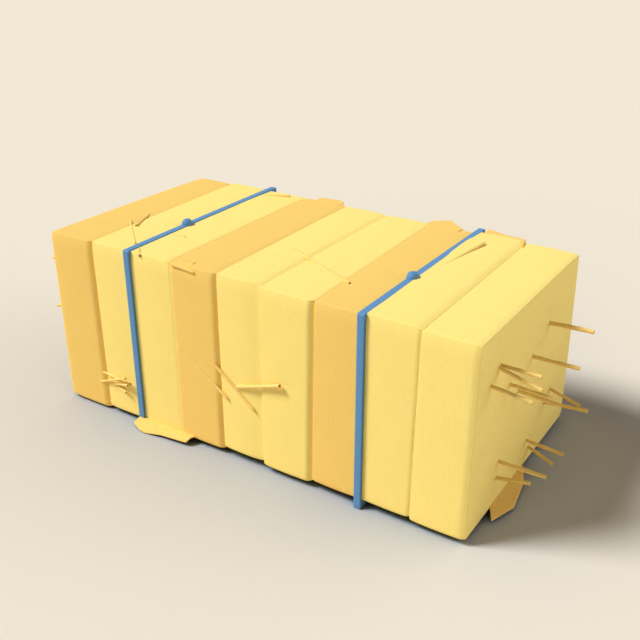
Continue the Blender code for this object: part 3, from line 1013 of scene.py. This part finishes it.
@dataclass(frozen=True)
class Stage:
    """The floor, the lamps and the camera. None of them is part of the bale."""

    floor_half: float = 30.0
    floor_below: float = 0.2 * MM
    sky: float = 0.01               # light from all round
    lens: float = 50.0              # focal length, in millimetres
    film: float = 36.0              # width of the picture behind the lens, in millimetres
    eye: tuple = (0.8902, -1.3459, 0.9846)
    look_down: float = 25.70        # degrees below the horizon
    look_left: float = 32.80        # degrees from straight toward the back
    lamps: tuple = (
        Lamp("key", (0.70, 0.50, -1.0), 3.79, 20),
        Lamp("front", (0.0, 1.0, -0.35), 0.35, 40),
        Lamp("rim", (-0.446, -0.772, -0.454), 0.33, 50, "DCE8FF"),
        Lamp("fill", (-0.919, -0.335, -0.208), 1.27, 50, "FFFBFA"),
    )

    def floor(self) -> None:
        """Make a wide floor just under the bale."""
        mesh = bpy.data.meshes.new("floor")
        half, low = self.floor_half, -self.floor_below
        mesh.from_pydata([(-half, -half, low), (half, -half, low), (half, half, low), (-half, half, low)],
                         [], [(0, 1, 2, 3)])
        mesh.materials.append(StudioFloor().build())
        floor = bpy.data.objects.new("floor", mesh)
        bpy.context.scene.collection.objects.link(floor)

    def world(self) -> None:
        """Light the scene from all round, very weakly, and show as pale paper behind the floor."""
        world = bpy.data.worlds.new("studio")
        world.use_nodes = True
        tree = world.node_tree
        path = add_node(tree, "ShaderNodeLightPath")
        straight = add_node(tree, "ShaderNodeMath", {"operation": "MAXIMUM"}, {
            0: path.outputs["Is Camera Ray"], 1: path.outputs["Is Glossy Ray"]})
        seen = add_node(tree, "ShaderNodeMath", {"operation": "MAXIMUM"}, {
            0: straight.outputs[0], 1: path.outputs["Is Transmission Ray"]})
        strength = add_node(tree, "ShaderNodeMapRange", {}, {
            "Value": seen.outputs[0], "To Min": self.sky, "To Max": 1.0})
        shade = tree.nodes["Background"]
        shade.inputs["Color"].default_value = linear(StudioFloor.colour)
        tree.links.new(strength.outputs[0], shade.inputs["Strength"])
        bpy.context.scene.world = world

    def camera(self) -> None:
        """Place the camera at the right of the front, above the bale."""
        lens = bpy.data.cameras.new("camera")
        lens.lens = self.lens
        lens.sensor_width = self.film
        made = bpy.data.objects.new("camera", lens)
        made.location = self.eye
        made.rotation_euler = (math.radians(90 - self.look_down), 0.0, math.radians(self.look_left))
        bpy.context.scene.collection.objects.link(made)
        bpy.context.scene.camera = made

    def build(self) -> None:
        """Make the whole stage."""
        self.floor()
        for lamp in self.lamps:
            lamp.build()
        self.world()
        self.camera()
        bpy.context.scene.view_settings.view_transform = "Standard"


class StrawBale:
    """The whole bale, built from its driving sizes."""

    def seams(self) -> list[Seam]:
        """Set out the planes between the flakes.

        Returns:
            The planes, from left to right.
        """
        return [
            Seam(-0.4632, -0.004, 0.026, LEFT_END, free=True),
            Seam(-0.3524, -0.005, -0.014, Roll(mm(18.0, 9.5, 1.0), mm(16.0, 1.7, 0.8))),
            Seam(-0.2550, 0.000, 0.000, FLUSH),
            Seam(-0.1530, 0.001, 0.003, FLUSH, fade=mm(2.5, 8.0, -3.0, 11.0)),
            Seam(-0.0460, 0.000, -0.002, Roll(mm(14.5, 7.0, 1.0), mm(14.0, 2.2, 0.8))),
            Seam(0.0505, -0.001, 0.003, Roll(mm(45.0, 2.4, 0.2), mm(14.0, 2.7, 0.3))),
            Seam(0.1535, 0.016, -0.022, Roll(mm(14.0, 8.0, 1.0), mm(12.0, 0.6, 0.5)),
                 fade=mm(0.0, 0.5, -2.0, 9.0)),
            Seam(0.2550, 0.000, 0.000, FLUSH),
            Seam(0.3552, 0.012, -0.007, Roll(mm(8.0, 2.2, 0.6), mm(16.0, 3.4, 0.3))),
            Seam(0.4575, 0.004, 0.000, RIGHT_END, free=True),
        ]

    def flakes(self) -> list[Flake]:
        """Set out the flakes, with how far each stands out, in millimetres.

        Returns:
            The flakes, from left to right.
        """
        seams = self.seams()
        shapes = (
            dict(back=-2.0, top=-1.8, bottom=3.5, slot=Slot.AMBER),
            dict(back=2.0, bottom=9.5),
            dict(front=0.5, back=-2.5, top=0.6, bottom=9.6),
            dict(front=0.5, back=-1.0, top=0.4, bottom=9.2, slot=Slot.AMBER),
            dict(front=-1.0, back=-6.0, top=1.8, bottom=14.8),
            dict(front=2.5, back=-2.5, top=-0.8, bottom=10.8),
            dict(front=-0.5, back=-1.0, top=-1.4, bottom=14.2, slot=Slot.AMBER),
            dict(back=0.5, top=2.4, bottom=14.6),
            dict(front=-0.5, back=19.5, top=-1.6, bottom=9.8, stoop=(600.0, 33.0)),
        )
        made = []
        for number, shape in enumerate(shapes, 1):
            slot = shape.pop("slot", Slot.PALE)
            sizes = {key: mm(*value) if key == "stoop" else value * MM for key, value in shape.items()}
            made.append(Flake(number, seams[number - 1], seams[number], slot, **sizes))
        return made

    def straws(self) -> list[Straw]:
        """Set out the loose straws.

        Those at an end are given by where they leave it (depth and height), how far they stand
        out, their turn and rise in degrees and their thickness in millimetres. The others are
        given by their two ends and their thickness.

        Returns:
            The straws.
        """
        made = []
        seams = self.seams()
        right = (
            (0.0875, 0.286, 0.0805, 1, 2, 8.0), (0.0125, 0.252, 0.0845, 0, 0, 7.0),
            (-0.1425, 0.305, 0.0685, 0, -1, 6.6), (-0.1500, 0.3045, 0.078, -6, -10.7, 6.6),
            (-0.1785, 0.284, 0.0715, -3, -5, 6.6), (-0.0905, 0.245, 0.0805, -1, -2, 6.6),
            (-0.0435, 0.209, 0.0785, -1, -3, 6.6), (0.1415, 0.124, 0.0665, -8, -12, 6.2),
            (0.1165, 0.106, 0.0835, 2, 4, 7.2), (0.0335, 0.066, 0.0735, -2, -3.5, 6.6),
            (0.0515, 0.041, 0.0565, -12, -14, 6.2), (-0.1065, 0.100, 0.0855, 0, 0, 7.2),
            (-0.1095, 0.067, 0.0605, 5, 8, 6.6),
        )
        left = (
            (-0.196, 0.306, 0.036, -12, -4, 6.0), (-0.194, 0.1965, 0.043, -14, -5, 6.0),
            (-0.090, 0.262, 0.071, 4, 3, 6.6), (-0.060, 0.110, 0.067, -3, -6, 6.6),
            (0.020, 0.308, 0.061, 6, 2, 6.6), (0.070, 0.176, 0.084, 0, 1, 7.0),
            (0.128, 0.074, 0.059, 8, -4, 6.6), (0.165, 0.240, 0.069, 5, 7, 6.6),
        )
        buried, crowded, buried_less = 0.012, "straw_right_4", 0.005
        for side, rows, seam, out in (("right", right, seams[-1], 1), ("left", left, seams[0], -1)):
            for number, (y, z, length, yaw, pitch, thickness) in enumerate(rows, 1):
                yaw, pitch = math.radians(yaw), math.radians(pitch)
                direction = np.array([out * math.cos(yaw) * math.cos(pitch),
                                      math.sin(yaw) * math.cos(pitch), math.sin(pitch)])
                leaves = np.array([seam.at(y, z), y, z])
                node = f"straw_{side}_{number}"
                start = leaves - direction * (buried_less if node == crowded else buried)
                finish = leaves + direction * length
                made.append(Straw(node, tuple(start), tuple(finish), thickness * MM))
        laid = {
            "front": (
                ((-0.3698, -0.2285, 0.0881), (-0.2744, -0.2405, 0.0908), 4.6),
                ((-0.3718, -0.2307, 0.0626), (-0.2794, -0.2485, 0.1062), 4.6),
                ((-0.3448, -0.2300, 0.0676), (-0.2764, -0.2470, 0.0906), 4.6),
                ((-0.3278, -0.2303, 0.0666), (-0.2894, -0.2415, 0.0672), 4.6),
                ((-0.0074, -0.2325, 0.1646), (0.0964, -0.2425, 0.2034), 7.2),
                ((-0.0603, -0.2335, 0.1989), (0.0306, -0.2325, 0.1255), 6.0),
                ((-0.1442, -0.2325, 0.2099), (-0.0324, -0.2335, 0.1335), 6.0),
            ),
            "top": (
                ((-0.0020, -0.0593, 0.3788), (0.1724, -0.1380, 0.3768), 5.6),
                ((0.2700, -0.0004, 0.3760), (0.2955, 0.1520, 0.3830), 6.0),
                ((-0.2403, 0.1820, 0.3762), (-0.1855, 0.2019, 0.3790), 4.4),
                ((-0.3708, -0.1041, 0.3762), (-0.2682, -0.1988, 0.3772), 4.4),
                ((-0.3718, -0.0463, 0.3745), (-0.3350, -0.1261, 0.3795), 5.0),
                ((-0.2420, -0.2170, 0.3770), (-0.2226, -0.2350, 0.3750), 7.0),
                ((-0.2423, -0.1240, 0.3762), (-0.2114, -0.1200, 0.3785), 4.0),
            ),
            "back": (
                ((-0.300, 0.2240, 0.2400), (-0.400, 0.2440, 0.2080), 5.2),
                ((0.050, 0.2200, 0.1200), (0.1500, 0.2560, 0.1450), 5.2),
                ((0.020, 0.2230, 0.2600), (-0.0900, 0.2460, 0.2860), 5.2),
                ((0.372, 0.2230, 0.1850), (0.2900, 0.2450, 0.1620), 5.2),
            ),
        }
        lifts = {"front": mm(0.0, -2.0, 0.0), "top": mm(0.0, 0.0, 2.2), "back": mm(0.0, 0.0, 0.0)}
        for side, rows in laid.items():
            lift = np.array(lifts[side])        # out of the face, so that more of the straw shows
            for number, (start, finish, thickness) in enumerate(rows, 1):
                ends = [tuple(np.array(place) + lift) for place in (start, finish)]
                made.append(Straw(f"straw_{side}_{number}", *ends, thickness * MM))
        return made

    def wads(self) -> list[Wad]:
        """Set out the wads of chaff.

        Returns:
            The wads.
        """
        return [
            Wad("wad_front_foot",
                ((-0.2665, -0.2535), (-0.2437, -0.2611), (-0.2297, -0.2625), (-0.1900, -0.2565),
                 (-0.1274, -0.2528), (-0.1165, -0.2300), (-0.1200, -0.2120), (-0.2625, -0.2120),
                 (-0.2620, -0.2465)),
                (-0.185, -0.244, 0.0178), slope_front=0.78),
            Wad("wad_right_foot",
                ((0.4400, -0.1120), (0.4600, -0.1303), (0.4727, -0.1550), (0.4900, -0.0930),
                 (0.4789, -0.0176), (0.4600, 0.0260), (0.4400, 0.0290)),
                (0.460, -0.050, 0.0145), slope_x=-0.25),
            Wad("wad_back_right",
                ((0.2662, 0.2153), (0.2887, 0.1967), (0.3154, 0.2073), (0.3580, 0.1910),
                 (0.3500, 0.2270), (0.3105, 0.2290), (0.2672, 0.2420)),
                (0.310, 0.215, 0.3800), slope_front=0.04, slope_back=0.04),
            Wad("wad_back_middle",
                ((0.1475, 0.1950), (0.2170, 0.2000), (0.2220, 0.2180), (0.2012, 0.2315),
                 (0.1840, 0.2455), (0.1595, 0.2335), (0.1450, 0.2230)),
                (0.180, 0.220, 0.3797), slope_front=0.10, slope_back=0.10),
            Wad("wad_back_left",
                ((-0.1265, 0.2100), (-0.0670, 0.2070), (-0.0590, 0.2180), (-0.0630, 0.2295),
                 (-0.0765, 0.2390), (-0.1200, 0.2340), (-0.1275, 0.2225)),
                (-0.095, 0.220, 0.3797), slope_front=0.04, slope_back=0.04),
            Wad("wad_front_top",
                ((-0.1495, -0.2370), (-0.0930, -0.2370), (-0.1070, -0.2200), (-0.1075, -0.2115),
                 (-0.1465, -0.2115)),
                (-0.122, -0.220, 0.3817), slope_front=0.33, twist=4.5),
        ]

    def build(self) -> None:
        """Make every piece of the bale."""
        for flake in self.flakes():
            flake.build()
        for node, x in (("twine_left", -0.2560), ("twine_right", 0.2540)):
            TwineLoop(node, x).build()
        for seed, straw in enumerate(self.straws()):
            straw.build(seed)
        for seed, wad in enumerate(self.wads()):
            wad.build(seed)


def main() -> None:
    """Build the stage and the bale."""
    logging.basicConfig(level=logging.INFO, format="%(name)s: %(message)s")
    Stage().build()
    StrawBale().build()
    bpy.context.view_layer.update()


if __name__ == "__main__":
    main()
